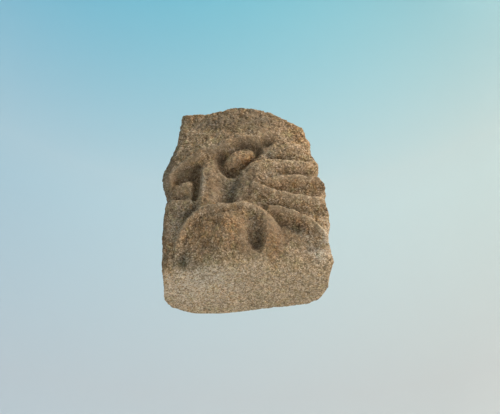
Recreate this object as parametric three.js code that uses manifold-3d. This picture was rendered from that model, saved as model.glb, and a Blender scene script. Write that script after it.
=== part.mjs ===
// Stone corbel: a beast's face with a broad snout, carved on the end of a sandstone block.
// Millimetres, +Z up. The face looks along -Y and y = 0 is the flat back, where the block meets its wall.

import * as THREE from 'three';
import { mergeVertices } from 'three/addons/utils/BufferGeometryUtils.js';
import Module from 'manifold-3d';

const wasm = await Module();
wasm.setup();

// Block: height of its underside, depth of the face plane at the origin's height, and how far it leans out
const undersideZ = -104;
const depthAtOrigin = 102;
const lean = 0.16;

// The face bows back towards its sides, and the carving on it rises as it goes
const bow = { depth: 10, reach: 90, lift: 0.76 };

// Outlines of the worn face, as [height, side] and [side, height]
const leftSide = [
  [-110, -90], [-100, -92], [-85, -92.5], [-64, -94], [-52, -93.5], [-25, -92.5], [-17, -88],
  [-8, -94], [6, -99], [17, -98], [36, -90.5], [60, -83.5], [82, -82], [104, -80.5],
];
const rightSide = [
  [-110, 87], [-100, 92], [-92, 94], [-84, 92.5], [-75, 89.5], [-60, 90.5], [-49, 93.5],
  [-38, 93], [-30, 88.5], [-24, 87.5], [-16, 89], [-10, 91.5], [-5, 90], [0, 84.5], [6, 83],
  [11, 81], [24, 84.5], [30, 83.5], [34, 81], [39, 76], [49, 75.5], [59, 76], [65, 70.5],
  [74, 69.5], [80, 68], [87, 65],
];
const topEdge = [
  [-100, 106], [-77, 107], [-48, 107], [-38, 110], [-28, 112], [-21, 115.5], [-7, 116],
  [8, 114.5], [20, 112], [30, 109], [44, 99], [61, 89], [90, 87],
];

// Heights of the top ends of the two sides
const leftTop = 106;
const rightTop = 90;

// The sides run back straighter than the face, and the lower back corner is broken away
const backLeft = -93;
const backRight = 89;
const backTaper = 22;
const backTop = 106;
const brokenEdge = [
  [-93, 34], [-91, 20], [-86, 12], [-74, 6], [-66, 2], [-60, 0], [-28, 0], [-8, 3],
  [20, 9], [43, 14], [67, 18], [76, 25], [83, 31], [89, 55],
];
const brokenSlope = 1.3;
const brokenMost = 60;

// Worn arrises: how wide each one is on the face, and how far it falls back
const arris = {
  left: { width: 11, depth: 7 },
  right: { width: 7, depth: 6 },
  top: { width: 5, depth: 5 },
  bottom: { width: 18, depth: 9.5 },
};

// Mesh: steps across, through and up the block, and the stone left on behind for the back cut
const steps = { across: 52, through: 7, up: 58 };
const spare = 8;

// A form that isn't there is sunk this far behind the face before it is joined
const sunk = -30;

// Sharp changes of height on the face are worn over this distance
const wear = 1.8;

// Slight unevenness of the dressed faces, and how far the grainy skin stands out of them
const hewn = { height: 0.6, across: 15, up: 19 };
const grainy = 1;

const smooth = THREE.MathUtils.smoothstep;
const lerp = THREE.MathUtils.lerp;
const clamp = THREE.MathUtils.clamp;

// Height of a broken line at v
function lineAt(points, v) {
  if (v <= points[0][0]) return points[0][1];
  for (let i = 1; i < points.length; i++) {
    const [v0, w0] = points[i - 1];
    const [v1, w1] = points[i];
    if (v <= v1) return lerp(w0, w1, (v - v0) / (v1 - v0));
  }
  return points[points.length - 1][1];
}

// A smooth line through corners given as [x, z]
function stroke(points) {
  const corners = points.map(([x, z]) => new THREE.Vector2(x, z));
  return new THREE.SplineCurve(corners).getPoints(6 * (corners.length - 1));
}

// Distance from a stroke, positive on its left hand, and the share of the stroke passed there
function measure(line, x, z) {
  let best = { distance: Infinity, side: 1, share: 0 };
  for (let i = 0; i + 1 < line.length; i++) {
    const { x: ax, y: az } = line[i];
    const dx = line[i + 1].x - ax;
    const dz = line[i + 1].y - az;
    const t = clamp(((x - ax) * dx + (z - az) * dz) / (dx * dx + dz * dz), 0, 1);
    const distance = Math.hypot(x - ax - t * dx, z - az - t * dz);
    if (distance < best.distance) {
      const side = dx * (z - az) - dz * (x - ax) < 0 ? -1 : 1;
      best = { distance, side, share: (i + t) / (line.length - 1) };
    }
  }
  return { inside: best.distance * best.side, share: best.share };
}

// Squared radius about a turned oval
function oval({ at, size, turn = 0 }, x, z) {
  const angle = THREE.MathUtils.degToRad(turn);
  const u = ((x - at[0]) * Math.cos(angle) + (z - at[1]) * Math.sin(angle)) / size[0];
  const v = ((z - at[1]) * Math.cos(angle) - (x - at[0]) * Math.sin(angle)) / size[1];
  return u * u + v * v;
}

// A soft swelling, or a hollow where its height is negative
function swelling(form, x, z) {
  return form.height * Math.exp(-1.2 * oval(form, x, z) ** (form.flat ?? 1));
}

// A ball standing out of the surface
function ball(form, x, z) {
  return form.height * Math.sqrt(Math.max(0, 1 - oval(form, x, z)));
}

// The higher of two surfaces, with a fillet of radius k between them
function join(a, b, k) {
  const t = clamp(0.5 + (0.5 * (b - a)) / k, 0, 1);
  return lerp(a, b, t) + k * t * (1 - t);
}

// The forehead stands forward at its foot, and falls back between these heights
const forehead = { rise: 1.5, from: 60, to: 105 };

// Fillets where one form meets the next
const fillets = { nose: 4, fold: 2, cheek: 3, snout: 3.5 };

const brow = {
  line: stroke([
    [-96, -8], [-91, 3], [-84, 11], [-76, 16], [-69, 23], [-62, 31], [-53, 42], [-44, 46],
    [-34, 47], [-22, 54], [-8, 59], [10, 64], [30, 69], [46, 70],
  ]),
  height: 5.5, reach: 16, under: 9,
};

// The right socket, and the recess that runs round the left eye and down the nose
const sockets = [
  {
    depth: 9, border: 8,
    line: stroke([
      [14, 55], [6, 60], [-5, 61], [-16, 57], [-25, 52], [-34, 46], [-35, 33], [-29, 19],
      [-18, 12], [-7, 17], [2, 27], [11, 38], [17, 47], [14, 55],
    ]),
  },
  {
    depth: 8.5, border: 7,
    line: stroke([
      [-53, 32], [-61, 34], [-70, 29], [-77, 22], [-85, 12], [-84, 1], [-74, 5], [-65, 8],
      [-60.5, 4], [-60, -6], [-61, -21], [-55, -21], [-53, 0], [-53, 32],
    ]),
  },
];

const rightEye = { at: [-9, 41.5], size: [20.5, 11], turn: 26, height: 10 };

// Forms about the eyes, the gully between the nose and the right cheek, and the worn forehead
const aboutEyes = [
  { at: [23, 60], size: [11, 6], turn: 32, height: -6 },
  { at: [-21, 22], size: [8, 6], turn: -30, height: -5 },
  { at: [-33, 43], size: [6, 11], turn: -25, height: -4 },
  { at: [-60, 8], size: [5, 22], turn: 3, height: -4.5 },
  { at: [-73, -4], size: [14, 11], turn: 28, height: 1.5 },
  { at: [-70, -18], size: [14, 5], turn: -8, height: -4 },
  { at: [-19, -8], size: [9, 26], height: -1.5 },
  { at: [-58, 86], size: [24, 9], turn: -8, height: -2 },
  { at: [0, 86], size: [40, 16], height: 2 },
];

const pouch = {
  line: stroke([[-46, -18], [-56, -18], [-65, -20], [-73, -23], [-80, -26], [-88, -29], [-102, -32]]),
  height: 6, above: 9, below: 26, end: -54.5,
};

// The nose is a wedge that widens and rises from its root down to its tip, steep on its left
const nose = {
  rootZ: 34, tipZ: -38, crestX: [-42, -43], left: [10.5, 16.5], right: [10, 25], height: [3, 14],
  wall: 8, leftTurn: 8, rightTurn: 2, fadeTop: 16, fadeTip: 10, rootDrop: 8,
};

const cheek = {
  line: stroke([
    [100, 32], [78, 33], [55, 34], [32, 34], [18, 33.5], [7, 30.5], [-1, 23.5], [-8.5, 11.5],
    [-12, -2], [-14, -15], [-16, -28], [-18, -44],
  ]),
  base: 1.5, height: 8.5, below: [24, 66], mass: [8, 38], front: [0.42, 0.6],
  border: 9, roll: 4.5, rollReach: 12, sideFade: 0.4,
};

// Folds that fan out over the cheek to its side, each from the side inwards
const folds = [
  {
    line: stroke([[100, 1], [86, 3.5], [72, 5.5], [54, 6.5], [38, 5.5], [24, 3], [12, 0]]),
    height: 10, above: 6, below: 12,
  },
  {
    line: stroke([
      [100, -26], [84, -24], [60, -21.5], [42, -17], [28, -13.5], [18, -9], [8, -4], [0, -1],
    ]),
    height: 12, above: 7, below: 16,
  },
  {
    line: stroke([
      [96, -78], [87, -68], [78, -57.5], [69, -49], [59, -42.5], [49, -38], [38, -34], [26, -33],
      [18, -29],
    ]),
    height: 10, above: 6, below: 11,
  },
];

const cheekSwellings = [
  { at: [58, 49], size: [26, 9], turn: 3, height: 4 },
  { at: [50, 36], size: [24, 4], turn: -2, height: -2.5 },
  { at: [52, 16], size: [22, 3], turn: -3, height: -2 },
  { at: [26, -21], size: [7, 6], height: -1.5 },
  { at: [41, -45], size: [11, 8], turn: -25, height: -6 },
  { at: [55, -53], size: [11, 8], turn: -30, height: -5.5 },
  { at: [67, -61], size: [8, 6], turn: -35, height: -1.5 },
];

// The snout stands out inside its line, with a low ridge just inside its left rim
const snout = {
  line: stroke([
    [46, -120], [46, -92], [45, -76], [40, -59], [33, -45], [23, -35], [11, -28.5], [-1, -25.5],
    [-10, -25.5], [-21, -28.5], [-35, -30], [-47, -31], [-60, -37], [-72, -49], [-80, -64],
    [-84, -78], [-84, -92], [-81, -120],
  ]),
  height: 19, lowFall: 12, leftFall: 9, rightFall: 6, rim: [13, 21], foot: 8,
  ridge: 4.2, ridgeIn: 8, ridgeHalf: 4.2,
};

// Nostrils, and the lesser hollows and swellings of the snout between and about them
const snoutForms = [
  { at: [9, -71], size: [9, 13], turn: 4, flat: 1.1, height: -15 },
  { at: [6, -53], size: [15, 15], turn: -8, height: -7 },
  { at: [-46, -68], size: [19, 18], turn: -15, flat: 1.8, height: -4 },
  { at: [-42, -49], size: [7, 4], turn: 20, height: -2 },
  { at: [-31, -57], size: [7, 5], height: -2.5 },
  { at: [-71, -94], size: [10, 6], turn: -35, height: -6 },
  { at: [-20, -70], size: [16, 16], height: 3 },
  { at: [-22, -42], size: [15, 3], turn: 8, height: -3 },
  { at: [46, -88], size: [13, 14], height: 2 },
];

function browHeight(x, z) {
  const { inside, share } = measure(brow.line, x, z);
  const ends = smooth(share, 0, 0.08) * (1 - smooth(share, 0.86, 1));
  const ledge = Math.exp(-((Math.max(inside, 0) / brow.reach) ** 2));
  return brow.height * ledge * ends * (1 - smooth(-inside, 0, brow.under));
}

function socketDepth(x, z) {
  return sockets.reduce((sum, { line, depth, border }) => {
    const { inside } = measure(line, x, z);
    return sum + depth * smooth(inside, 0.3 * -border, 0.7 * border);
  }, 0);
}

function pouchHeight(x, z) {
  const { inside } = measure(pouch.line, x, z);
  const fall = inside < 0 ? smooth(-inside, 0, pouch.above) : smooth(inside, 2, pouch.below);
  return pouch.height * (1 - fall) * (1 - smooth(x, pouch.end - 3.5, pouch.end + 3.5));
}

function noseHeight(x, z) {
  const run = clamp((nose.rootZ - z) / (nose.rootZ - nose.tipZ), 0, 1);
  const crest = lerp(...nose.crestX, run);
  const onLeft = x < crest;
  const half = onLeft ? lerp(...nose.left, run) : lerp(...nose.right, run);
  const top = lerp(...nose.height, run);
  const off = Math.min(Math.abs(x - crest) / half, 1.5);
  const height = top - (top + nose.wall) * off ** (onLeft ? nose.leftTurn : nose.rightTurn);
  const above = nose.rootDrop * smooth(z, nose.rootZ - nose.fadeTop, nose.rootZ + nose.fadeTop);
  const below = 1 - smooth(z, nose.tipZ - nose.fadeTip, nose.tipZ);
  return lerp(height - above, sunk, below);
}

function cheekHeight(x, z) {
  const { inside, share } = measure(cheek.line, x, z);
  const fade = 1 - cheek.sideFade * smooth(x, 30, 90);
  const below = lerp(...cheek.below, 1 - smooth(x, ...cheek.mass));
  let h = cheek.base + cheek.height * fade * (1 - smooth(inside, 4, below));
  for (const fold of folds) {
    const { inside: d, share: along } = measure(fold.line, x, z);
    const fall = d < 0 ? smooth(-d, 0, fold.above) : smooth(d, 1, fold.below);
    const ends = smooth(along, 0, 0.02) * (1 - smooth(along, 0.88, 1));
    h = join(h, cheek.base + fold.height * (1 - fall) * ends, fillets.fold);
  }
  const roll = (1 - clamp(inside / cheek.rollReach, 0, 1)) ** 2;
  h -= cheek.roll * roll * smooth(share, ...cheek.front);
  return lerp(sunk, h, smooth(inside, -cheek.border, 1));
}

function snoutHeight(x, z) {
  const { inside } = measure(snout.line, x, z);
  if (inside <= 0) return sunk;
  const low = snout.lowFall * (1 - smooth(z, -100, -52));
  const left = snout.leftFall * (1 - smooth(x, -78, -30));
  const right = snout.rightFall * smooth(x, 10, 40) * (1 - smooth(z, -80, -45));
  const top = snout.height - low - left - right;
  const rise = clamp(inside / lerp(...snout.rim, smooth(x, 5, 40)), 0, 1);
  const ridge = Math.exp(-(((inside - snout.ridgeIn) / snout.ridgeHalf) ** 2)) * (1 - smooth(x, -35, 10));
  return (top + snout.foot) * Math.sqrt(1 - (1 - rise) ** 2) - snout.foot + snout.ridge * ridge;
}

// How far the face curves back towards its sides
function bowed(x) {
  return bow.depth * (x / bow.reach) ** 2;
}

// Carved height of the face before or behind its leaning plane
function relief(x, height) {
  const z = height - bow.lift * bowed(x);
  const add = (form) => swelling(form, x, z);
  const total = (forms) => forms.reduce((sum, form) => sum + add(form), 0);
  let h = forehead.rise * (1 - smooth(z, forehead.from, forehead.to));
  h += browHeight(x, z) - socketDepth(x, z) + ball(rightEye, x, z) + total(aboutEyes);
  h += pouchHeight(x, z);
  h = join(h, noseHeight(x, z), fillets.nose);
  h = join(h, cheekHeight(x, z), fillets.cheek) + total(cheekSwellings);
  return join(h, snoutHeight(x, z), fillets.snout) + total(snoutForms) - bowed(x);
}

// The same height worn smooth, as the mean over a small cross
function worn(x, z) {
  const cross = [[0, 0], [wear, 0], [-wear, 0], [0, wear], [0, -wear]];
  return cross.reduce((sum, [dx, dz]) => sum + relief(x + dx, z + dz), 0) / cross.length;
}

// How far the face falls back at its worn border
function arrisFall(x, z, left, right, top) {
  const reach = { left: x - left, right: right - x, top: top - z, bottom: z - undersideZ };
  const falls = Object.entries(arris).map(([side, { width, depth }]) => {
    const out = 1 - clamp(reach[side] / width, 0, 1);
    return depth * (1 - Math.sqrt(Math.max(0, 1 - out * out)));
  });
  return Math.hypot(...falls);
}

// Outer sides of the face at a share of its height
function sidesAt(upward) {
  const rise = bow.lift * bow.depth;
  return {
    left: lineAt(leftSide, lerp(undersideZ, leftTop, upward) - rise) - grainy,
    right: lineAt(rightSide, lerp(undersideZ, rightTop, upward) - rise) + grainy,
  };
}

// Moves a point of the two-unit cube to its place on the carved block
function carve(a, b, c) {
  const forward = (1 - b) / 2;
  const sideways = (a + 1) / 2;
  const upward = (c + 1) / 2;
  const carried = smooth(forward, 0.1, 0.95);
  const taper = backTaper * upward ** 2;
  const edge = sidesAt(upward);
  const left = lerp(backLeft + 0.4 * taper, edge.left, carried);
  const right = lerp(backRight - taper, edge.right, carried);
  const x = lerp(left, right, sideways);
  const top = lineAt(topEdge, x) + bow.lift * bowed(x) + grainy;
  const faceZ = lerp(undersideZ, top, upward);
  const plane = depthAtOrigin + lean * faceZ + grainy / 2;
  const fall = arrisFall(x, faceZ, left, right, top);
  const y = lerp(spare, -(plane + worn(x, faceZ) - fall), forward);
  const broken = brokenSlope * Math.max(0, y + lineAt(brokenEdge, x));
  const low = undersideZ + Math.min(broken, brokenMost);
  const z = lerp(low, lerp(backTop, top, carried), upward);
  const wave = hewn.height * Math.sin(y / hewn.across + z / hewn.up) * Math.cos((x - y) / hewn.up);
  const onSide = Math.abs(a) > 0.999 ? Math.sign(a) : 0;
  const onEnd = Math.abs(c) > 0.999 ? Math.sign(c) : 0;
  return [x + onSide * wave, y, z + onEnd * wave];
}

// Triangles and vertices of a geometry as a solid, and back
function solidOf(geometry) {
  const bare = geometry.clone();
  bare.deleteAttribute('normal');
  bare.deleteAttribute('uv');
  const merged = mergeVertices(bare, 1e-4);
  return new wasm.Manifold(new wasm.Mesh({
    numProp: 3,
    vertProperties: Float32Array.from(merged.attributes.position.array),
    triVerts: Uint32Array.from(merged.index.array),
  }));
}

function geometryOf(solid) {
  const mesh = solid.getMesh();
  const geometry = new THREE.BufferGeometry();
  geometry.setAttribute('position', new THREE.BufferAttribute(mesh.vertProperties, 3));
  geometry.setIndex(new THREE.BufferAttribute(mesh.triVerts, 1));
  geometry.computeVertexNormals();
  return geometry;
}

// The block with its carving, still with spare stone behind the wall face
function carvedBlock() {
  const geometry = new THREE.BoxGeometry(2, 2, 2, steps.across, steps.through, steps.up);
  const position = geometry.attributes.position;
  for (let i = 0; i < position.count; i++) {
    position.setXYZ(i, ...carve(position.getX(i), position.getY(i), position.getZ(i)));
  }
  return geometry;
}

// Everything behind the wall face
function wallSide() {
  const width = 400;
  return new THREE.BoxGeometry(width, width, width).translate(0, width / 2, 0);
}

const sandstone = new THREE.MeshStandardMaterial({ color: 0x8a7556, roughness: 0.95, metalness: 0 });

const corbel = new THREE.Mesh(
  geometryOf(solidOf(carvedBlock()).subtract(solidOf(wallSide()))),
  sandstone,
);
corbel.name = 'corbel';

const part = new THREE.Group();
part.add(corbel);

export default part;
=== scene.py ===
# Weathered sandstone corbel, a beast's face with a wrinkled cheek and a broad snout.
# Shapes are worked out in millimetres in the corbel's own frame, and go to Blender in metres.

import math
import bpy
import numpy as np
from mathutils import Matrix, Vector


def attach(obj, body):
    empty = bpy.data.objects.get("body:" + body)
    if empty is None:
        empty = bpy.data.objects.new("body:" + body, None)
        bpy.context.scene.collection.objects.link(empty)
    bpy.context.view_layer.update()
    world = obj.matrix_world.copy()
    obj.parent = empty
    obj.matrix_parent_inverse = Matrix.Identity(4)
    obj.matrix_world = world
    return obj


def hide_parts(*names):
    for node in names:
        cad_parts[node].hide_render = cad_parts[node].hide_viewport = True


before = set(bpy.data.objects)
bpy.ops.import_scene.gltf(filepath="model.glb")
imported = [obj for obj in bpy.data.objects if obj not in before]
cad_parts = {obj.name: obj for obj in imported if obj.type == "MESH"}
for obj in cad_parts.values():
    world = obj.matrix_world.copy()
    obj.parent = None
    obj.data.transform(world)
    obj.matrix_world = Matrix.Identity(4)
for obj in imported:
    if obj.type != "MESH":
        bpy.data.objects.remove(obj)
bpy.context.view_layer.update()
scene = bpy.context.scene
mm = 0.001

# Camera: in front of the corbel and well below it, looking up under the snout
shot = {
    "target": (3.5, -66.0, 0.0), "distance": 812.0, "below": 41.0,
    "lens": 50.0, "sensor": 36.0, "nearest": 0.01,
}


def placeCamera():
    data = bpy.data.cameras.new("camera")
    data.lens = shot["lens"]
    data.sensor_width = shot["sensor"]
    data.clip_start = shot["nearest"]
    camera = bpy.data.objects.new("camera", data)
    scene.collection.objects.link(camera)
    below = math.radians(shot["below"])
    back = Vector((0, -math.cos(below), -math.sin(below)))
    camera.location = (Vector(shot["target"]) + back * shot["distance"]) * mm
    camera.rotation_euler = (-back).to_track_quat("-Z", "Y").to_euler()
    scene.camera = camera


placeCamera()
print("camera placed")


# Curves and soft steps used by every carved form

def smooth(low, high, v):
    t = np.clip((v - low) / (high - low), 0, 1)
    return t * t * (3 - 2 * t)


def mix(a, b, t):
    return a + (b - a) * t


def stroke(points, steps=6):
    # a smooth line through the points, with this many steps between each two
    p = np.array(points, float)
    line = []
    for i in range(len(p) - 1):
        a, b, c, d = p[max(i - 1, 0)], p[i], p[i + 1], p[min(i + 2, len(p) - 1)]
        for t in np.arange(steps) / steps:
            line.append(0.5 * (2 * b + (c - a) * t + (2 * a - 5 * b + 4 * c - d) * t * t
                               + (3 * b - a - 3 * c + d) * t ** 3))
    return np.array(line + [p[-1]])


def measure(x, z, points):
    # distance from a stroke, positive on its left hand, and the share of it passed there
    line = stroke(points)
    best = np.full(x.shape, 1e9)
    side = np.ones(x.shape)
    share = np.zeros(x.shape)
    for i, ((ax, az), (bx, bz)) in enumerate(zip(line[:-1], line[1:])):
        dx, dz = bx - ax, bz - az
        t = np.clip(((x - ax) * dx + (z - az) * dz) / (dx * dx + dz * dz), 0, 1)
        away = (x - ax - t * dx) ** 2 + (z - az - t * dz) ** 2
        near = away < best
        best = np.where(near, away, best)
        side = np.where(near, np.where(dx * (z - az) < dz * (x - ax), -1.0, 1.0), side)
        share = np.where(near, (i + t) / (len(line) - 1), share)
    return np.sqrt(best) * side, share


def oval(x, z, at, size, turn=0):
    # squared radius about a turned oval
    c, s = math.cos(math.radians(turn)), math.sin(math.radians(turn))
    u = ((x - at[0]) * c + (z - at[1]) * s) / size[0]
    v = ((z - at[1]) * c - (x - at[0]) * s) / size[1]
    return u * u + v * v


def swell(x, z, at, size, height, turn=0, flat=1.0):
    # a soft swelling, or a hollow below zero, with three tenths of it left at the rim of its oval
    return height * np.exp(-1.2 * oval(x, z, at, size, turn) ** flat)


def join(a, b, k):
    # the higher of two surfaces, with a fillet of radius k between them
    t = np.clip(0.5 + 0.5 * (b - a) / k, 0, 1)
    return mix(a, b, t) + k * t * (1 - t)


def tapered(share, start, end):
    # 1 along a stroke, easing to 0 at both its ends
    return smooth(0, start, share) * (1 - smooth(end, 1, share))


def ripple(x, z, size, seed, waves=7):
    # smooth unevenness, made of crossing waves with settled phases
    rng = np.random.default_rng(seed)
    total = 0
    for turn, phase, stretch in rng.uniform((0, 0, 0.7), (math.pi, 2 * math.pi, 1.6), (waves, 3)):
        total = total + np.sin((x * math.cos(turn) + z * math.sin(turn)) / (size * stretch) + phase)
    return total / waves


# The block: its side outlines are [height, side] and its top outline [side, height]
block = {
    "bottom": -104.0, "depth": 102.0, "lean": 0.16, "leftTop": 106.0, "rightTop": 90.0,
    "bow": 10.0, "bowReach": 90.0, "bowLift": 0.76,
    "left": [
        (-110, -90), (-100, -92), (-85, -92.5), (-64, -94), (-52, -93.5), (-25, -92.5), (-17, -88),
        (-8, -94), (6, -99), (17, -98), (36, -90.5), (60, -83.5), (82, -82), (104, -80.5),
    ],
    "right": [
        (-110, 87), (-100, 92), (-92, 94), (-84, 92.5), (-75, 89.5), (-60, 90.5), (-49, 93.5), (-38, 93),
        (-30, 88.5), (-24, 87.5), (-16, 89), (-10, 91.5), (-5, 90), (0, 84.5), (6, 83), (11, 81), (24, 84.5),
        (30, 83.5), (34, 81), (39, 76), (49, 75.5), (59, 76), (65, 70.5), (74, 69.5), (80, 68), (87, 65),
    ],
    "top": [
        (-100, 106), (-77, 107), (-48, 107), (-38, 110), (-28, 112), (-21, 115.5), (-7, 116), (8, 114.5),
        (20, 112), (30, 109), (44, 99), (61, 89), (90, 87),
    ],
    "backLeft": -93.0, "backRight": 89.0, "backTaper": 22.0, "leftTaper": 0.4, "backTop": 106.0,
    "brokenEdge": [
        (-93, 34), (-91, 20), (-86, 12), (-74, 6), (-66, 2), (-60, 0), (-28, 0), (-8, 3), (20, 9), (43, 14),
        (67, 18), (76, 25), (83, 31), (89, 55),
    ],
    "brokenSlope": 1.3, "brokenMost": 60.0,
    # shares of the depth over which the back's shape becomes the face's, and over which it sharpens
    "carried": (0.1, 0.95), "sharpens": (0.72, 0.93), "wearNear": 1.3, "wearDeep": 12.0,
    "pits": [(65, -41, 2.4), (14, -24, 1.6), (-45, -6, 2.0)],
    "arris": {"left": (11.0, 7.0), "right": (7.0, 6.0), "top": (5.0, 5.0), "bottom": (18.0, 9.5)},
}

forehead = {"rise": 1.5, "fade": (60, 105)}

# Fillets where one form meets the next
fillets = {"nose": 4, "fold": 2, "cheek": 3, "snout": 3.5}

brow = {
    "line": [(-96, -8), (-91, 3), (-84, 11), (-76, 16), (-69, 23), (-62, 31), (-53, 42), (-44, 46),
             (-34, 47), (-22, 54), (-8, 59), (10, 64), (30, 69), (46, 70)],
    "height": 5.5, "reach": 16, "under": 9, "ends": (0.08, 0.86),
}

# The right socket, and the recess that runs round the left eye and down the nose
sockets = [
    {"line": [(14, 55), (6, 60), (-5, 61), (-16, 57), (-25, 52), (-34, 46), (-35, 33), (-29, 19),
              (-18, 12), (-7, 17), (2, 27), (11, 38), (17, 47), (14, 55)],
     "depth": 9, "border": 8},
    {"line": [(-53, 32), (-61, 34), (-70, 29), (-77, 22), (-85, 12), (-84, 1), (-74, 5), (-65, 8),
              (-60.5, 4), (-60, -6), (-61, -21), (-55, -21), (-53, 0), (-53, 32)],
     "depth": 8.5, "border": 7},
]

# The right eyeball, with a lid above it and the crease above the lid
eye = {
    "at": (-9, 41.5), "size": (20.5, 11), "turn": 26, "height": 10, "lidEnds": (0.15, 0.85),
    "lids": [
        {"line": [(-25, 44), (-18, 50.5), (-8, 54.5), (3, 54.5), (12, 49)], "height": 2.0, "half": 1.8},
        {"line": [(-48, 46), (-38, 47), (-30, 48), (-22, 53.5), (-12, 58), (0, 59.5), (9, 57.5), (15, 52)],
         "height": -3.4, "half": 1.9},
    ],
}

# Hollows and swellings about the eyes, in the gully beside the nose and on the worn forehead
aboutEyes = [
    {"at": (23, 60), "size": (11, 6), "turn": 32, "height": -6},
    {"at": (-21, 22), "size": (8, 6), "turn": -30, "height": -5},
    {"at": (-33, 43), "size": (6, 11), "turn": -25, "height": -4},
    {"at": (-60, 8), "size": (5, 22), "turn": 3, "height": -4.5},
    {"at": (-73, -4), "size": (14, 11), "turn": 28, "height": 1.5},
    {"at": (-70, -18), "size": (14, 5), "turn": -8, "height": -4},
    {"at": (-19, -8), "size": (9, 26), "height": -1.5},
    {"at": (-58, 86), "size": (24, 9), "turn": -8, "height": -2},
    {"at": (0, 86), "size": (40, 16), "height": 2},
]

pouch = {
    "line": [(-46, -18), (-56, -18), (-65, -20), (-73, -23), (-80, -26), (-88, -29), (-102, -32)],
    "height": 6, "above": 9, "below": (2, 26), "end": -54.5, "endHalf": 3.5,
}

# A wedge that widens and rises from its root down to its tip, steep on its left
nose = {
    "rootZ": 34, "tipZ": -38, "crestX": (-42, -43), "left": (10.5, 16.5), "right": (10, 25),
    "height": (3, 14), "wall": 8, "leftTurn": 8.0, "rightTurn": 2.0, "mostOff": 1.5,
    "fadeTop": 16, "fadeTip": 10, "rootDrop": 8,
}

# The cheek ends at its line, and its folds fan out to the side, each given from the side inwards
cheek = {
    "line": [(100, 32), (78, 33), (55, 34), (32, 34), (18, 33.5), (7, 30.5), (-1, 23.5), (-8.5, 11.5),
             (-12, -2), (-14, -15), (-16, -28), (-18, -44)],
    "base": 1.5, "height": 8.5, "flatTo": 4, "below": (24, 66), "mass": (8, 38), "border": (9, 1),
    "roll": 4.5, "rollReach": 12, "rollFrom": (0.42, 0.6), "sideFade": 0.4, "sideX": (30, 90),
    "foldEnds": (0.02, 0.88), "foldTop": 1,
    "folds": [
        {"line": [(100, 1), (86, 3.5), (72, 5.5), (54, 6.5), (38, 5.5), (24, 3), (12, 0)],
         "height": 10, "above": 6, "below": 12},
        {"line": [(100, -26), (84, -24), (60, -21.5), (42, -17), (28, -13.5), (18, -9), (8, -4), (0, -1)],
         "height": 12, "above": 7, "below": 16},
        {"line": [(96, -78), (87, -68), (78, -57.5), (69, -49), (59, -42.5), (49, -38), (38, -34),
                  (26, -33), (18, -29)],
         "height": 10, "above": 6, "below": 11},
    ],
    "swellings": [
        {"at": (58, 49), "size": (26, 9), "turn": 3, "height": 4},
        {"at": (50, 36), "size": (24, 4), "turn": -2, "height": -2.5},
        {"at": (52, 16), "size": (22, 3), "turn": -3, "height": -2},
        {"at": (26, -21), "size": (7, 6), "height": -1.5},
        {"at": (41, -45), "size": (11, 8), "turn": -25, "height": -6},
        {"at": (55, -53), "size": (11, 8), "turn": -30, "height": -5.5},
        {"at": (67, -61), "size": (8, 6), "turn": -35, "height": -1.5},
    ],
}

# The snout stands out inside its line, with a low ridge and a groove just inside its left rim
snout = {
    "line": [(46, -120), (46, -92), (45, -76), (40, -59), (33, -45), (23, -35), (11, -28.5), (-1, -25.5),
             (-10, -25.5), (-21, -28.5), (-35, -30), (-47, -31), (-60, -37), (-72, -49), (-80, -64),
             (-84, -78), (-84, -92), (-81, -120)],
    "height": 19, "foot": 8, "rim": (13, 21), "rimX": (5, 40),
    "lowFall": 12, "lowZ": (-100, -52), "leftFall": 9, "leftX": (-78, -30),
    "rightFall": 6, "rightX": (10, 40), "rightZ": (-80, -45),
    "ridge": 4.2, "ridgeIn": 8, "ridgeHalf": 4.2, "groove": 2.6, "grooveIn": 15, "grooveHalf": 2.8,
    "ridgeX": (-35, 10),
    "forms": [  # nostrils, and the lesser hollows and swellings about them
        {"at": (9, -71), "size": (9, 13), "turn": 4, "flat": 1.1, "height": -15},
        {"at": (6, -53), "size": (15, 15), "turn": -8, "height": -7},
        {"at": (-46, -68), "size": (19, 18), "turn": -15, "flat": 1.8, "height": -3.5},
        {"at": (-55, -57), "size": (5, 4), "turn": -30, "height": -3.5},
        {"at": (-34, -54), "size": (6, 3.5), "height": -3.5},
        {"at": (-46, -78), "size": (6, 4), "height": -3},
        {"at": (-42, -49), "size": (7, 4), "turn": 20, "height": -2},
        {"at": (-31, -57), "size": (7, 5), "height": -2.5},
        {"at": (-71, -94), "size": (10, 6), "turn": -35, "height": -6},
        {"at": (-20, -70), "size": (16, 16), "height": 3},
        {"at": (-22, -42), "size": (15, 3), "turn": 8, "height": -3},
        {"at": (46, -88), "size": (13, 14), "height": 2},
    ],
}

sunk = -30  # a form that isn't there lies this far behind the face


def browHeight(x, z):
    inside, share = measure(x, z, brow["line"])
    ledge = np.exp(-(np.maximum(inside, 0) / brow["reach"]) ** 2)
    return brow["height"] * ledge * tapered(share, *brow["ends"]) * (1 - smooth(0, brow["under"], -inside))


def socketDepth(x, z):
    depth = 0
    for socket in sockets:
        inside, _ = measure(x, z, socket["line"])
        depth = depth + socket["depth"] * smooth(-0.3 * socket["border"], 0.7 * socket["border"], inside)
    return depth


def eyeHeight(x, z):
    h = eye["height"] * np.sqrt(np.maximum(0, 1 - oval(x, z, eye["at"], eye["size"], eye["turn"])))
    for lid in eye["lids"]:
        d, share = measure(x, z, lid["line"])
        h = h + lid["height"] * tapered(share, *eye["lidEnds"]) * np.exp(-(d / lid["half"]) ** 2)
    return h


def pouchHeight(x, z):
    inside, _ = measure(x, z, pouch["line"])
    fall = np.where(inside < 0, smooth(0, pouch["above"], -inside), smooth(*pouch["below"], inside))
    ended = smooth(pouch["end"] - pouch["endHalf"], pouch["end"] + pouch["endHalf"], x)
    return pouch["height"] * (1 - fall) * (1 - ended)


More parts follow.
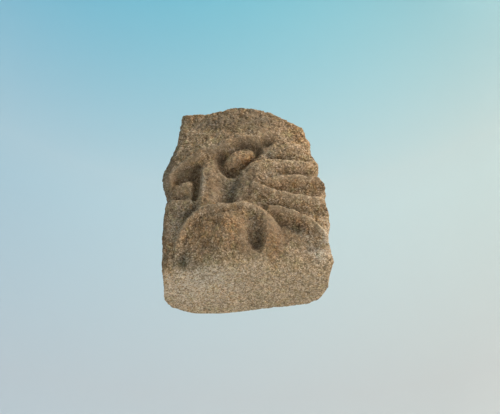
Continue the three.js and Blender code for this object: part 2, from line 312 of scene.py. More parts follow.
def noseHeight(x, z):
    run = np.clip((nose["rootZ"] - z) / (nose["rootZ"] - nose["tipZ"]), 0, 1)
    crest = mix(*nose["crestX"], run)
    half = np.where(x < crest, mix(*nose["left"], run), mix(*nose["right"], run))
    top = mix(*nose["height"], run)
    off = np.minimum(np.abs(x - crest) / half, nose["mostOff"])
    height = top - (top + nose["wall"]) * off ** np.where(x < crest, nose["leftTurn"], nose["rightTurn"])
    above = nose["rootDrop"] * smooth(nose["rootZ"] - nose["fadeTop"], nose["rootZ"] + nose["fadeTop"], z)
    below = 1 - smooth(nose["tipZ"] - nose["fadeTip"], nose["tipZ"], z)
    return mix(height - above, sunk, below)


def cheekHeight(x, z):
    inside, _ = measure(x, z, cheek["line"])
    fade = 1 - cheek["sideFade"] * smooth(*cheek["sideX"], x)
    below = mix(*cheek["below"], 1 - smooth(*cheek["mass"], x))
    h = cheek["base"] + cheek["height"] * fade * (1 - smooth(cheek["flatTo"], below, inside))
    for fold in cheek["folds"]:
        d, along = measure(x, z, fold["line"])
        fall = np.where(d < 0, smooth(0, fold["above"], -d), smooth(cheek["foldTop"], fold["below"], d))
        ends = tapered(along, *cheek["foldEnds"])
        h = join(h, cheek["base"] + fold["height"] * (1 - fall) * ends, fillets["fold"])
    # the edge turns back towards the front, from a place told by how far along the lowest fold it lies
    roll = cheek["roll"] * (1 - np.clip(inside / cheek["rollReach"], 0, 1)) ** 2
    outside, settled = cheek["border"]
    return mix(sunk, h - roll * smooth(*cheek["rollFrom"], along), smooth(-outside, settled, inside))


def snoutHeight(x, z):
    inside, _ = measure(x, z, snout["line"])
    low = snout["lowFall"] * (1 - smooth(*snout["lowZ"], z))
    left = snout["leftFall"] * (1 - smooth(*snout["leftX"], x))
    right = snout["rightFall"] * smooth(*snout["rightX"], x) * (1 - smooth(*snout["rightZ"], z))
    top = snout["height"] - low - left - right
    rise = np.clip(inside / mix(*snout["rim"], smooth(*snout["rimX"], x)), 0, 1)
    h = (top + snout["foot"]) * np.sqrt(1 - (1 - rise) ** 2) - snout["foot"]
    onLeft = 1 - smooth(*snout["ridgeX"], x)
    ridge = snout["ridge"] * np.exp(-((inside - snout["ridgeIn"]) / snout["ridgeHalf"]) ** 2)
    groove = snout["groove"] * np.exp(-((inside - snout["grooveIn"]) / snout["grooveHalf"]) ** 2)
    return np.where(inside > 0, h + ridge * onLeft - groove * onLeft, sunk)


def bowed(x):
    # how far the face curves back towards its sides
    return block["bow"] * (x / block["bowReach"]) ** 2


def relief(x, z):
    # carved height of the face before or behind its leaning plane
    z = z - block["bowLift"] * bowed(x)

    def total(forms):
        return sum(swell(x, z, **form) for form in forms)

    h = forehead["rise"] * (1 - smooth(*forehead["fade"], z))
    h = h + browHeight(x, z) - socketDepth(x, z) + eyeHeight(x, z)
    h = h + total(aboutEyes) + pouchHeight(x, z)
    h = join(h, noseHeight(x, z), fillets["nose"])
    h = join(h, cheekHeight(x, z), fillets["cheek"]) + total(cheek["swellings"])
    h = join(h, snoutHeight(x, z), fillets["snout"]) + total(snout["forms"])
    return h - bowed(x)


# Relief map: the carved heights on an even grid, worn by a light blur. Hollows and crests are told by
# how far the relief lies from a wider blur of itself, given as the blur's radius and the full distance.
chart = {
    "x": (-104.0, 104.0), "z": (-110.0, 124.0), "step": 0.7, "wear": 1.2,
    "nearHollow": (5, 5), "wideHollow": (12, 10), "wideShare": 0.7, "crest": (5, 4),
}


def blur(field, radius):
    sigma = radius / chart["step"]
    reach = int(math.ceil(3 * sigma))
    taps = np.exp(-0.5 * (np.arange(-reach, reach + 1) / sigma) ** 2)
    taps /= taps.sum()
    for axis in (0, 1):
        pad = [(reach, reach) if a == axis else (0, 0) for a in (0, 1)]
        wide = np.pad(field, pad, mode="edge")
        size = field.shape[axis]
        field = sum(w * np.take(wide, range(k, k + size), axis) for k, w in enumerate(taps))
    return field


def hollowBelow(radius, depth):
    return np.clip((blur(heights, radius) - heights) / depth, 0, 1)


def crestAbove(radius, height):
    return np.clip((heights - blur(heights, radius)) / height, 0, 1)


def sample(field, x, z):
    # a field of the relief map at any points
    u = np.clip((x - chart["x"][0]) / chart["step"], 0, field.shape[1] - 1.001)
    v = np.clip((z - chart["z"][0]) / chart["step"], 0, field.shape[0] - 1.001)
    i, j = u.astype(int), v.astype(int)
    u, v = u - i, v - j
    low = mix(field[j, i], field[j, i + 1], u)
    return mix(low, mix(field[j + 1, i], field[j + 1, i + 1], u), v)


def lineAt(points, v, wear=2.5):
    # an outline with its corners worn round over this distance
    p = np.array(points, float)
    offsets = np.linspace(-2, 2, 9) * wear
    weights = np.exp(-0.5 * (offsets / wear) ** 2)
    return sum(w * np.interp(v + o, p[:, 0], p[:, 1]) for o, w in zip(offsets, weights / weights.sum()))


gridX, gridZ = np.meshgrid(np.arange(*chart["x"], chart["step"]), np.arange(*chart["z"], chart["step"]))
heights = blur(relief(gridX, gridZ), chart["wear"])
hollows = hollowBelow(*chart["nearHollow"]) + chart["wideShare"] * hollowBelow(*chart["wideHollow"])
crests = crestAbove(*chart["crest"])
print("relief worked out on", heights.shape, "points")

# Mesh of the stone: steps across, through and up, and how far they crowd where the carving is steep
lattice = {"across": 230, "through": 80, "up": 300, "crowding": 0.6, "crowdFrom": 0.55, "sharing": 6}


def arrisFall(x, z, left, right, top):
    # how far the face falls back at its worn edges
    reach = {"left": x - left, "right": right - x, "top": top - z, "bottom": z - block["bottom"]}
    fall = 0
    for side, (width, depth) in block["arris"].items():
        out = 1 - np.clip(reach[side] / width, 0, 1)
        fall = np.hypot(fall, depth * (1 - np.sqrt(np.maximum(0, 1 - out * out))))
    return fall


def outline(side, v, wear):
    # an outline of the face, as sharp as it is there or as round as it gets behind the face
    near, deep = (lineAt(block[side], v, block[key]) for key in ("wearNear", "wearDeep"))
    return mix(near, deep, wear)


def pitted(x, y):
    # small lost pebbles in the underside, given as [across, back, size]
    return sum(size * np.exp(-((x - px) ** 2 + (y - py) ** 2) / size ** 2) for px, py, size in block["pits"])


def carve(sideways, forward, upward):
    # places on the stone from their shares of its width, depth and height
    carried = smooth(*block["carried"], forward)
    wear = 1 - smooth(*block["sharpens"], forward)
    taper = block["backTaper"] * upward ** 2
    lift = block["bowLift"] * block["bow"]
    leftLevel = mix(block["bottom"], block["leftTop"], upward) - lift
    rightLevel = mix(block["bottom"], block["rightTop"], upward) - lift
    left = mix(block["backLeft"] + block["leftTaper"] * taper, outline("left", leftLevel, wear), carried)
    right = mix(block["backRight"] - taper, outline("right", rightLevel, wear), carried)
    x = mix(left, right, sideways)
    top = outline("top", x, wear) + block["bowLift"] * bowed(x)
    faceZ = mix(block["bottom"], top, upward)
    plane = block["depth"] + block["lean"] * faceZ
    depth = plane + sample(heights, x, faceZ) - arrisFall(x, faceZ, left, right, top)
    y = -depth * forward
    broken = block["brokenSlope"] * np.maximum(0, y + lineAt(block["brokenEdge"], x))
    low = block["bottom"] + np.minimum(broken, block["brokenMost"]) + pitted(x, y)
    z = mix(low, mix(block["backTop"], top, carried), upward)
    return np.stack([x, y, z], -1)


def crowd(points, along):
    # evens out the spacing of a grid of points along one of its axes
    span = np.linalg.norm(np.diff(points, axis=along), axis=-1)
    reach = np.cumsum(np.moveaxis(span, along, -1), -1)
    reach = np.concatenate([np.zeros(reach.shape[:-1] + (1,)), reach], -1)
    even = np.linspace(0, 1, reach.shape[-1])
    rows = np.stack([np.interp(even * r[-1], r, even) for r in reach])
    for _ in range(lattice["sharing"]):  # neighbouring lines share their spacing
        wide = np.pad(rows, ((1, 1), (0, 0)), mode="edge")
        rows = (wide[:-2] + 2 * rows + wide[2:]) / 4
    return mix(even, rows, lattice["crowding"])


def buildStone():
    # the skin of a box of points, each carried to its place
    nx, ny, nz = lattice["across"], lattice["through"], lattice["up"]
    a, c = np.meshgrid(np.linspace(0, 1, nx + 1), np.linspace(0, 1, nz + 1), indexing="ij")
    face = carve(a, np.ones_like(a), c)
    crowdedUp = crowd(face, 1)          # one row for each step across
    crowdedAcross = crowd(face, 0)      # one row for each step up
    shape = (nx + 1, ny + 1, nz + 1)
    onSkin = np.zeros(shape, bool)
    for cut in (np.s_[0], np.s_[-1], np.s_[:, 0], np.s_[:, -1], np.s_[:, :, 0], np.s_[:, :, -1]):
        onSkin[cut] = True
    i, j, k = np.nonzero(onSkin)
    number = np.full(shape, -1)
    number[i, j, k] = np.arange(len(i))
    forward = j / ny
    carried = smooth(lattice["crowdFrom"], 1, forward)
    sideways = mix(i / nx, crowdedAcross[k, i], carried)
    upward = mix(k / nz, crowdedUp[i, k], carried)
    points = carve(sideways, forward, upward) * mm

    def sheet(n, flip):
        quads = np.stack([n[:-1, :-1], n[1:, :-1], n[1:, 1:], n[:-1, 1:]], -1).reshape(-1, 4)
        return quads[:, ::-1] if flip else quads

    quads = np.concatenate([
        sheet(number[0], False), sheet(number[-1], True),
        sheet(number[:, 0], True), sheet(number[:, -1], False),
        sheet(number[:, :, 0], False), sheet(number[:, :, -1], True),
    ])
    mesh = bpy.data.meshes.new("corbel_stone")
    mesh.from_pydata(points.tolist(), [], quads.tolist())
    mesh.update()
    stone = bpy.data.objects.new("corbel_stone", mesh)
    scene.collection.objects.link(stone)
    return stone


def volumeOf(mesh):
    # positive while the faces point outwards
    mesh.calc_loop_triangles()
    corners = np.empty(len(mesh.loop_triangles) * 3, np.int32)
    mesh.loop_triangles.foreach_get("vertices", corners)
    co = np.empty(len(mesh.vertices) * 3)
    mesh.vertices.foreach_get("co", co)
    t = co.reshape(-1, 3)[corners.reshape(-1, 3)]
    return np.einsum("ij,ij->i", t[:, 0], np.cross(t[:, 1], t[:, 2])).sum() / 6


stone = buildStone()
litres = volumeOf(stone.data) * 1e3
print("stone meshed,", len(stone.data.polygons), "quads, volume", round(litres, 3), "litres")


# Node trees written as Python expressions

class Wire:
    # one number, colour or vector running through a node tree
    def __init__(self, tree, socket):
        self.tree = tree
        self.socket = socket

    def maths(self, operation, *values, clamp=False):
        node = self.tree.nodes.new("ShaderNodeMath")
        node.operation = operation
        node.use_clamp = clamp
        for socket, value in zip(node.inputs, values):
            if isinstance(value, Wire):
                self.tree.links.new(value.socket, socket)
            else:
                socket.default_value = value
        return Wire(self.tree, node.outputs[0])

    def __add__(self, other): return self.maths("ADD", self, other)
    def __radd__(self, other): return self.maths("ADD", other, self)
    def __sub__(self, other): return self.maths("SUBTRACT", self, other)
    def __rsub__(self, other): return self.maths("SUBTRACT", other, self)
    def __mul__(self, other): return self.maths("MULTIPLY", self, other)
    def __rmul__(self, other): return self.maths("MULTIPLY", other, self)
    def __truediv__(self, other): return self.maths("DIVIDE", self, other)
    def __rtruediv__(self, other): return self.maths("DIVIDE", other, self)
    def __pow__(self, other): return self.maths("POWER", self, other)

    def between(self, low, high):
        # 0 at low, 1 at high, held there beyond them
        return self.maths("MULTIPLY", self - low, 1 / (high - low), clamp=True)


class Sheet:
    # a node tree to lay nodes out on
    def __init__(self, tree):
        self.tree = tree

    def put(self, kind, settings=None, sockets=None, out=0):
        # one node, and the wire from one of its outputs
        node = self.tree.nodes.new(kind)
        for key, value in (settings or {}).items():
            if key == "stops":
                while len(node.color_ramp.elements) < len(value):
                    node.color_ramp.elements.new(0.5)
                for element, (place, colour) in zip(node.color_ramp.elements, value):
                    element.position = place
                    element.color = (*colour, 1)
            else:
                setattr(node, key, value)
        for key, value in (sockets or {}).items():
            if isinstance(value, Wire):
                self.tree.links.new(value.socket, node.inputs[key])
            else:
                node.inputs[key].default_value = value
        return Wire(self.tree, node.outputs[out])

    def split(self, kind, value):
        # the three parts of a colour or a place
        first = self.put(kind, {}, {0: value})
        return [Wire(self.tree, socket) for socket in first.socket.node.outputs]

    def end(self, kind, wire):
        self.tree.links.new(wire.socket, self.tree.nodes.new(kind).inputs[0])

    def blendColour(self, share, a, b, how="MIX"):
        a, b = (v if isinstance(v, Wire) else (*v, 1) for v in (a, b))
        return self.put("ShaderNodeMix", {"data_type": "RGBA", "blend_type": how},
                        {0: share, 6: a, 7: b}, out=2)

    def noise(self, place, size, detail, rough, seed):
        return self.put("ShaderNodeTexNoise", {"noise_dimensions": "4D"},
                        {"Vector": place, "W": seed, "Scale": 1 / (size * mm), "Detail": detail,
                         "Roughness": rough, "Distortion": 0.0})

    def grains(self, place, size, out):
        # cells about scattered points: the distance from the point is output 0, and a random colour 1
        return self.put("ShaderNodeTexVoronoi", {"feature": "F1"},
                        {"Vector": place, "Scale": 1 / (size * mm)}, out=out)


def newMaterial(name):
    material = bpy.data.materials.new(name)
    material.use_nodes = True
    material.node_tree.nodes.clear()
    return material, Sheet(material.node_tree)


# Skin of the stone: lumps, grains and small lost grains raised on the mesh by Geometry Nodes
skin = {
    "Lump Size": 11.0, "Lump Height": 2.8, "Pock Size": 4.6, "Pock Height": 2.3,
    "Grain Size": 1.8, "Grain Height": 0.8, "Inset": 0.5, "Seed": 7,
}

# How the skin is laid: where a pock starts and is deepest in its noise, how much calmer fresh stone and
# stone under patina and painted shade is, and how soon the skin starts in front of the wall face, in metres
laying = {"pockFrom": 0.52, "pockFull": 0.3, "pockCurve": 1.5, "freshCalm": 0.5, "dimCalm": 0.25,
          "starts": (-0.0005, -0.006)}


def skinTree(material):
    tree = bpy.data.node_groups.new("stone skin", "GeometryNodeTree")
    tree.interface.new_socket("Geometry", in_out="INPUT", socket_type="NodeSocketGeometry")
    for name, value in skin.items():
        kind = "NodeSocketInt" if name == "Seed" else "NodeSocketFloat"
        tree.interface.new_socket(name, in_out="INPUT", socket_type=kind).default_value = value
    tree.interface.new_socket("Geometry", in_out="OUTPUT", socket_type="NodeSocketGeometry")
    s = Sheet(tree)
    group = tree.nodes.new("NodeGroupInput")
    given = {socket.name: Wire(tree, socket) for socket in group.outputs if socket.name}
    place = s.put("GeometryNodeInputPosition")
    normal = s.put("GeometryNodeInputNormal")

    def noise(size, shift):
        return s.put("ShaderNodeTexNoise", {"noise_dimensions": "4D"},
                     {"Vector": place, "W": given["Seed"] + shift, "Scale": 1000 / size, "Detail": 2.0,
                      "Roughness": 0.6})

    def calmer(name, share):
        # less than 1 where the stone is marked with this attribute
        mark = s.put("GeometryNodeInputNamedAttribute", {"data_type": "FLOAT"}, {"Name": name})
        return 1 - mark * share

    # the skin is calmer on fresh stone and where patina and painted shade are laid
    fresh, dim = calmer("fresh", laying["freshCalm"]), calmer("dim", laying["dimCalm"])
    lump = (noise(given["Lump Size"], 0.1) - 0.5) * fresh * dim
    pock = noise(given["Pock Size"], 0.4).between(laying["pockFrom"], laying["pockFull"])
    pits = pock ** laying["pockCurve"] * fresh * dim
    grain = noise(given["Grain Size"], 0.7) - 0.5
    rise = (lump * 2 * given["Lump Height"] - pits * given["Pock Height"]
            + grain * 2 * given["Grain Height"] - given["Inset"]) * mm
    push = s.put("ShaderNodeVectorMath", {"operation": "SCALE"}, {0: normal, "Scale": rise})
    _, back, _ = s.split("ShaderNodeSeparateXYZ", place)  # y, which is 0 at the wall face
    push = s.put("ShaderNodeVectorMath", {"operation": "SCALE"},
                 {0: push, "Scale": back.between(*laying["starts"])})
    moved = s.put("GeometryNodeSetPosition", {}, {"Geometry": given["Geometry"], "Offset": push})
    real = s.put("GeometryNodeRealizeInstances", {}, {"Geometry": moved})
    coated = s.put("GeometryNodeSetMaterial", {}, {"Geometry": real, "Material": material})
    s.end("NodeGroupOutput", coated)
    return tree


def applied(piece):
    # leaves the piece as its modifiers make it, as a plain mesh
    bpy.context.view_layer.update()
    seen = piece.evaluated_get(bpy.context.evaluated_depsgraph_get())
    mesh = bpy.data.meshes.new_from_object(seen)
    piece.modifiers.clear()
    old = piece.data
    piece.data = mesh
    bpy.data.meshes.remove(old)
    mesh.name = piece.name


finish = {"mostTriangles": 190000, "sharpAngle": 55.0}


def raiseSkin(piece, material):
    modifier = piece.modifiers.new("skin", "NODES")
    modifier.node_group = skinTree(material)
    for item in modifier.node_group.interface.items_tree:
        if item.in_out == "INPUT" and item.name in skin:
            modifier[item.identifier] = skin[item.name]
    applied(piece)
    triangles = sum(len(p.vertices) - 2 for p in piece.data.polygons)
    thin = piece.modifiers.new("thin", "DECIMATE")
    thin.ratio = finish["mostTriangles"] / triangles
    thin.use_collapse_triangulate = True
    applied(piece)
    piece.data.shade_smooth()
    piece.data.set_sharp_from_angle(angle=math.radians(finish["sharpAngle"]))


# Staining, patina and painted shade on the stone, as soft ovals on the face; the one below lies on the
# underside, across and back
def patch(across, up, wide, high, strength, turn=0):
    return {"at": (across, up), "size": (wide, high), "height": strength, "turn": turn}


stains = {
    "rust": [
        patch(-12, -64, 22, 20, 0.8), patch(-48, -64, 18, 14, 0.5), patch(27, -70, 10, 20, 0.9),
        patch(66, 76, 15, 26, 0.8), patch(46, 98, 18, 10, 0.5), patch(-43, -8, 9, 16, 0.6),
        patch(-4, 39, 18, 10, 0.9), patch(82, 16, 14, 30, 0.5), patch(66, -46, 20, 10, 0.4),
        patch(-64, 106, 16, 6, 0.6), patch(-93, -102, 9, 14, 0.9), patch(20, -36, 16, 8, 0.4),
        patch(-84, 8, 8, 14, 0.5), patch(-92, -62, 8, 24, 0.5),
    ],
    # greyer, bluer patches, mostly stains; the long strip down the left edge and the one under the left brow
    # are painted shade, and the thin strip beside the nose's left edge is part of a painted highlight
    "cool": [
        patch(-70, -34, 22, 12, 0.7), patch(-18, -4, 10, 26, 1.0), patch(8, -62, 12, 20, 1.0),
        patch(-69, -91, 13, 11, 1.0), patch(54, -51, 10, 6, 0.9), patch(-91, 50, 8, 60, 0.9),
        patch(-50, 2, 4, 18, 0.6), patch(20, 92, 11, 9, 0.8), patch(-42, 92, 28, 8, 0.6),
        patch(74, -82, 10, 12, 0.9), patch(2, 6, 11, 22, 0.5), patch(-48, -100, 20, 10, 0.7),
        patch(25, 42, 10, 6, 1.0), patch(28, 14, 8, 6, 0.5), patch(-72, 22, 13, 8, 0.8, turn=38),
    ],
    # lighter patches; the thin strip at the nose's left edge is a painted highlight
    "pale": [
        patch(8, -99, 18, 8, 0.5), patch(88, -62, 9, 20, 1.0), patch(-80, -50, 10, 14, 0.8),
        patch(64, -60, 10, 5, 0.7, turn=-30), patch(52, -88, 20, 14, 0.15), patch(34, 12, 16, 6, 0.6),
        patch(76, -83, 9, 9, 1.0), patch(-50, 2, 4, 18, 0.7), patch(-30, 52, 24, 4, 0.4),
    ],
    # darker, duller patches: patina over the forehead, painted shade under the brow, about both eyes and
    # down the left edge, and further darker patches about the nose, cheek and snout
    "dim": [
        patch(-6, 92, 60, 24, 0.8), patch(17, 76, 10, 8, 0.4), patch(4, 4, 12, 22, 0.8),
        patch(-2, 57, 18, 6, 1.0), patch(24, 61, 15, 7, 1.0, turn=32), patch(22, 49, 10, 5, 1.0),
        patch(-42, 49, 12, 4, 0.8), patch(-33, 45, 7, 12, 0.9, turn=-25), patch(-34, 34, 5, 14, 0.8),
        patch(-12, 38, 16, 12, 0.25), patch(66, 20, 12, 8, 0.6), patch(38, 40, 12, 10, 0.4),
        patch(-91, 52, 8, 48, 1.0), patch(-73, 23, 14, 9, 0.5, turn=38),
        patch(-72, -2, 15, 11, 0.7, turn=28), patch(-67, -15, 11, 6, 0.8), patch(-87, 8, 5, 10, 0.6),
        patch(-66, 29, 25, 6, 0.7, turn=44), patch(-38, -2, 14, 30, 1.0), patch(-26, -24, 7, 7, 0.8),
        patch(-2, -23, 10, 5, 1.0), patch(-36, -14, 6, 10, 0.7), patch(29, -35, 8, 6, 1.0),
        patch(-22, -44, 22, 9, 0.2), patch(-12, -50, 14, 6, 0.5), patch(-45, -68, 17, 18, 0.35),
        patch(-3, -64, 9, 16, 0.7), patch(8, -83, 22, 11, 0.8), patch(28, -53, 10, 11, 0.7),
        patch(34, -66, 13, 20, 0.8), patch(50, -69, 13, 10, 0.5, turn=-25), patch(60, -84, 12, 7, 0.4),
        patch(-92, -60, 8, 40, 0.3),
    ],
    "paleBelow": patch(-54, -56, 46, 38, 1.0),
}

# Where the marks lie and how ragged they are: the face, the fresh and the under stone by height or depth
marks = {
    "face": (-9, -3), "fresh": (-98, -82), "below": (-104, -96), "front": (0, 20), "frontReach": 40,
    "sway": 4, "freshSway": (5, 3), "swayAcross": (4, 11), "swayUp": (4, 12),  # wave size and seed
    "pitDepth": 1.5, "paleUnder": 0.3,
}


def markSurface(piece):
    # what the skin and the finish read: how hollow, proud and fresh each point is, and its stains, patina
    # and painted shade
    m = marks
    mesh = piece.data
    co = np.empty(len(mesh.vertices) * 3)
    mesh.vertices.foreach_get("co", co)
    x, y, z = co.reshape(-1, 3).T / mm
    plane = block["depth"] + block["lean"] * z
    onFace = smooth(*m["face"], -y - plane - sample(heights, x, z))
    inFront = smooth(*m["front"], -y - plane + m["frontReach"])
    below = 1 - smooth(*m["below"], z)
    swayedX = x + m["sway"] * ripple(x, z, *m["swayAcross"])
    swayedZ = z + m["sway"] * ripple(x, z, *m["swayUp"])
    fields = {
        "hollow": sample(hollows, x, z) * onFace + np.clip(pitted(x, y) / m["pitDepth"], 0, 1) * below,
        "proud": sample(crests, x, z) * onFace,
        "fresh": 1 - smooth(*m["fresh"], z + m["sway"] * ripple(x, z, *m["freshSway"])),
    }
    for name in ("rust", "cool", "pale", "dim"):
        fields[name] = sum(swell(swayedX, swayedZ, **stain) for stain in stains[name]) * inFront
    under = m["paleUnder"] + swell(swayedX, y, **stains["paleBelow"])
    fields["pale"] = fields["pale"] * (1 - below) + under * below
    for name, values in fields.items():
        field = mesh.attributes.get(name) or mesh.attributes.new(name, "FLOAT", "POINT")
        field.data.foreach_set("value", np.clip(values, 0, 1).astype(np.float32))


# Finish of the stone: linear colours of its grains, and tints that multiply them
gritstone = {
    "grainSize": 1.25, "fineSize": 0.7,
    "dark": (0.043, 0.029, 0.017), "brown": (0.120, 0.080, 0.044), "tan": (0.228, 0.157, 0.089),
    "pale": (0.405, 0.296, 0.187), "white": (0.66, 0.52, 0.39),
    "ramp": {"dark": 0.08, "brown": 0.30, "tan": 0.5, "pale": 0.72, "white": 0.93},
    "rust": (1.16, 0.83, 0.52), "cool": (0.66, 0.77, 0.93), "amber": (1.20, 0.97, 0.64),
    "violet": (0.96, 0.90, 1.00), "olive": (0.92, 1.07, 0.80),
    # of the two greys here, the first darkens patina and painted shade, the second dirt and painted shade in
    # the hollows
    "dim": (0.66, 0.66, 0.67), "grimeAndShade": (0.34, 0.34, 0.34),
    "calm": (0.21, 0.137, 0.077), "clean": (0.34, 0.25, 0.135), "bleached": (0.66, 0.57, 0.45),
    "roughness": 0.93, "shine": 0.25, "bump": 0.55, "bumpHeight": 0.6,
}

# Patterns in the stone, as [size, detail, roughness, seed]
patterns = {
    "mottle": (4.5, 4.0, 0.6, 1.3), "patchy": (14.0, 3.0, 0.6, 3.7), "drift": (32.0, 3.0, 0.6, 2.1),
    "speck": (3.2, 2.0, 0.6, 4.4), "amber": (7.0, 3.0, 0.65, 11.1), "violet": (5.5, 3.0, 0.65, 12.2),
    "olive": (9.0, 3.0, 0.65, 13.3), "clean": (5.0, 3.0, 0.6, 5.2), "bleached": (1.6, 2.0, 0.6, 7.7),
    "spots": (5.5, 3.0, 0.65, 8.8), "rough": (1.2, 3.0, 0.65, 6.6),
}

# How light a grain is: what makes it up, how strong the contrast is, and what shifts it
tones = {
    "grain": 0.43, "fine": 0.19, "mottle": 0.46, "mean": 0.53, "gain": 1.15, "freshGain": 0.35,
    "dimGain": 0.15, "middle": 0.50, "patchy": 0.28, "pale": 0.10,
}

# How much of each tint is laid on, at most
shares = {
    "warmGrain": 0.4, "chillGrain": 0.2, "drift": 0.5, "cool": 0.55, "coolSpeck": 0.6, "hue": 0.7,
    "calm": 0.35, "clean": 0.35, "bleached": 0.62, "hollow": 0.5, "spots": 0.5, "freshSpots": 0.8,
    "proud": 0.42, "cellBump": 0.5, "edgeBump": 0.8,
}


def stoneMaterial():
    g = gritstone
    material, s = newMaterial("weathered gritstone")
    place = s.put("ShaderNodeTexCoord", {}, {}, out="Object")

    def mark(name):
        return s.put("ShaderNodeAttribute", {"attribute_name": name}, {}, out="Fac")

    def pattern(name):
        return s.noise(place, *patterns[name])

    def tint(share, colour, name):
        return s.blendColour(share, colour, g[name], "MULTIPLY")

    hollow, proud, fresh = mark("hollow"), mark("proud"), mark("fresh")
    rust, cool, pale, dim = mark("rust"), mark("cool"), mark("pale"), mark("dim")

    # each grain has its own lightness, warmth and chill
    cell, warmth, chill = s.split("ShaderNodeSeparateColor", s.grains(place, g["grainSize"], 1))
    fine = s.put("ShaderNodeSeparateColor", {}, {0: s.grains(place, g["fineSize"], 1)})
    t = tones
    # grain contrast rises on fresh stone and falls where patina and painted shade are laid
    gain = t["gain"] + fresh * t["freshGain"] - dim * t["dimGain"]
    tone = (cell * t["grain"] + fine * t["fine"] + pattern("mottle") * t["mottle"] - t["mean"]) * gain
    # pale patches lighten the tone; the strip at the nose's left edge among them is a painted highlight
    tone = tone + t["middle"] + (pattern("patchy") - 0.5) * t["patchy"] + pale * t["pale"]
    stops = [(at, g[name]) for name, at in g["ramp"].items()]
    colour = s.put("ShaderNodeValToRGB", {"stops": stops}, {0: tone})

    # hues that change from grain to grain and from patch to patch
    colour = tint(warmth.between(0.55, 1.0) * shares["warmGrain"], colour, "rust")
    colour = tint(chill.between(0.6, 1.0) * shares["chillGrain"], colour, "cool")
    speck = pattern("speck")
    rusty = (rust + pattern("drift").between(0.48, 0.75) * shares["drift"]) * speck.between(0.3, 0.62)
    colour = tint(rusty, colour, "rust")
    # cool patches: stains, with painted shade down the left edge and under the left brow, and part of a
    # painted highlight at the nose's left edge
    colour = tint(cool * (shares["cool"] + speck * shares["coolSpeck"]), colour, "cool")
    for hue in ("amber", "violet", "olive"):
        colour = tint(pattern(hue).between(0.5, 0.72) * shares["hue"], colour, hue)

    # darker, duller patina and painted shade on the face where marked, clean stone below, and bleached
    # grains
    colour = s.blendColour(dim * shares["calm"], colour, g["calm"])
    colour = tint(dim, colour, "dim")
    clean = fresh * pattern("clean").between(0.3, 0.6)
    colour = s.blendColour(clean * shares["clean"], colour, g["clean"])
    bleached = pale * pattern("bleached").between(0.47, 0.62)
    colour = s.blendColour(bleached * shares["bleached"], colour, g["bleached"])

    # dirt and painted shade in the hollows, dirt in small pocks, and crests blended paler
    spots = pattern("spots").between(0.40, 0.28) * (1 - fresh * shares["freshSpots"])
    dirtAndShade = hollow.between(0.05, 0.8) * shares["hollow"] + spots * shares["spots"]
    colour = tint(dirtAndShade, colour, "grimeAndShade")
    colour = s.blendColour(proud * shares["proud"], colour, g["pale"])

    edges = s.grains(place, g["grainSize"], 0)
    rough = cell * shares["cellBump"] + pattern("rough") - edges * shares["edgeBump"]
    bumped = s.put("ShaderNodeBump", {}, {
        "Strength": g["bump"], "Distance": g["bumpHeight"] * mm, "Height": rough})
    shader = s.put("ShaderNodeBsdfPrincipled", {}, {
        "Base Color": colour, "Roughness": g["roughness"], "Normal": bumped,
        "Specular IOR Level": g["shine"]})
    s.end("ShaderNodeOutputMaterial", shader)
    return material


gritstoneFinish = stoneMaterial()
markSurface(stone)
raiseSkin(stone, gritstoneFinish)
markSurface(stone)
print("skin raised,", len(stone.data.polygons), "triangles")
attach(stone, "root")
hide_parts("corbel")

# Studio: a pale floor running up into a round tent of graded paper, well outside the camera, and soft
# lamps. Its heights and distances are in millimetres, and the grading and the lamps' aim in metres.
studio = {
    "floor": -900.0, "radius": 1600.0, "wall": 300.0, "cove": 500.0, "middle": 1.0, "sides": 96,
    "coveSteps": 12, "domeSteps": 24, "domeGap": 0.001,
    "lowLeft": (0.51, 0.55, 0.59), "lowRight": (0.66, 0.63, 0.60),
    "middleLeft": (0.45, 0.59, 0.67), "middleRight": (0.72, 0.78, 0.74),
    "highLeft": (0.07, 0.42, 0.60), "highRight": (0.38, 0.77, 0.82), "across": (-0.85, 0.85),
    "middleUp": (0.55, 1.15), "highUp": (1.25, 1.78),
    "glow": 0.12, "roughness": 0.9, "aim": (0, -0.06, 0),
    "lamps": [
        {"name": "key", "from": (0.62, -0.38, 0.68), "away": 1200.0, "size": 0.45, "watts": 18.0,
         "colour": (1.0, 0.96, 0.90)},
        {"name": "low fill", "from": (0.58, -0.45, -0.68), "away": 1250.0, "size": 0.8, "watts": 12.0,
         "colour": (1.0, 0.99, 0.97)},
        {"name": "back", "from": (-0.35, 0.8, 0.5), "away": 1200.0, "size": 0.8, "watts": 10.0,
         "colour": (1.0, 1.0, 1.0)},
    ],
}


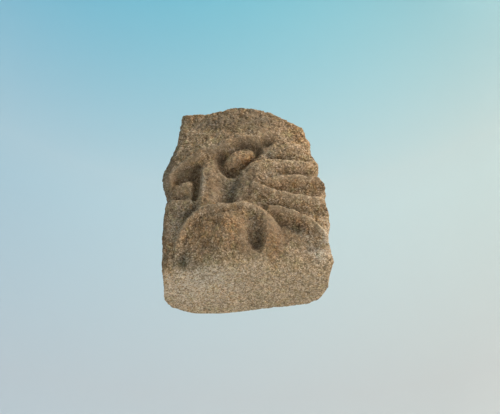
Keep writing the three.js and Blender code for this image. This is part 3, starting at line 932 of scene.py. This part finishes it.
def paperMaterial():
    material, s = newMaterial("graded paper")
    place = s.put("ShaderNodeTexCoord", {}, {}, out="Object")
    across, _, height = s.split("ShaderNodeSeparateXYZ", place)
    rightward = across.between(*studio["across"])
    low = s.blendColour(rightward, studio["lowLeft"], studio["lowRight"])
    middle = s.blendColour(rightward, studio["middleLeft"], studio["middleRight"])
    high = s.blendColour(rightward, studio["highLeft"], studio["highRight"])
    colour = s.blendColour(height.between(*studio["middleUp"]), low, middle)
    colour = s.blendColour(height.between(*studio["highUp"]), colour, high)
    shader = s.put("ShaderNodeBsdfPrincipled", {}, {
        "Base Color": colour, "Emission Color": colour, "Emission Strength": studio["glow"],
        "Roughness": studio["roughness"]})
    s.end("ShaderNodeOutputMaterial", shader)
    return material


def buildTent():
    # a profile of floor, cove and dome, turned about the corbel
    s = studio
    floor, radius, cove = s["floor"], s["radius"], s["cove"]
    bend = [(radius - cove * (1 - math.sin(t)), floor + cove * (1 - math.cos(t)))
            for t in np.linspace(0, math.pi / 2, s["coveSteps"])]
    dome = [(radius * math.cos(t), s["wall"] + radius * math.sin(t))
            for t in np.linspace(0, math.pi / 2 - s["domeGap"], s["domeSteps"])]
    profile = [(s["middle"], floor)] + bend + dome
    points, quads = [], []
    for ring, (reach, height) in enumerate(profile):
        for i in range(s["sides"]):
            turn = 2 * math.pi * i / s["sides"]
            points.append((reach * math.cos(turn) * mm, reach * math.sin(turn) * mm, height * mm))
            if ring:
                a, b = ring * s["sides"] + i, ring * s["sides"] + (i + 1) % s["sides"]
                quads.append((a - s["sides"], a, b, b - s["sides"]))
    mesh = bpy.data.meshes.new("studio_tent")
    mesh.from_pydata(points, [], quads)
    mesh.shade_smooth()
    mesh.materials.append(paperMaterial())
    tent = bpy.data.objects.new("studio_tent", mesh)
    scene.collection.objects.link(tent)


def hangLamps():
    aim = Vector(studio["aim"])
    for lamp in studio["lamps"]:
        data = bpy.data.lights.new(lamp["name"], "AREA")
        data.shape = "DISK"
        data.size = lamp["size"]
        data.energy = lamp["watts"]
        data.color = lamp["colour"]
        light = bpy.data.objects.new(lamp["name"], data)
        scene.collection.objects.link(light)
        toward = Vector(lamp["from"]).normalized()
        light.location = aim + toward * lamp["away"] * mm
        light.rotation_euler = (-toward).to_track_quat("-Z", "Y").to_euler()


buildTent()
hangLamps()
scene.view_settings.view_transform = "Standard"
print("studio set")
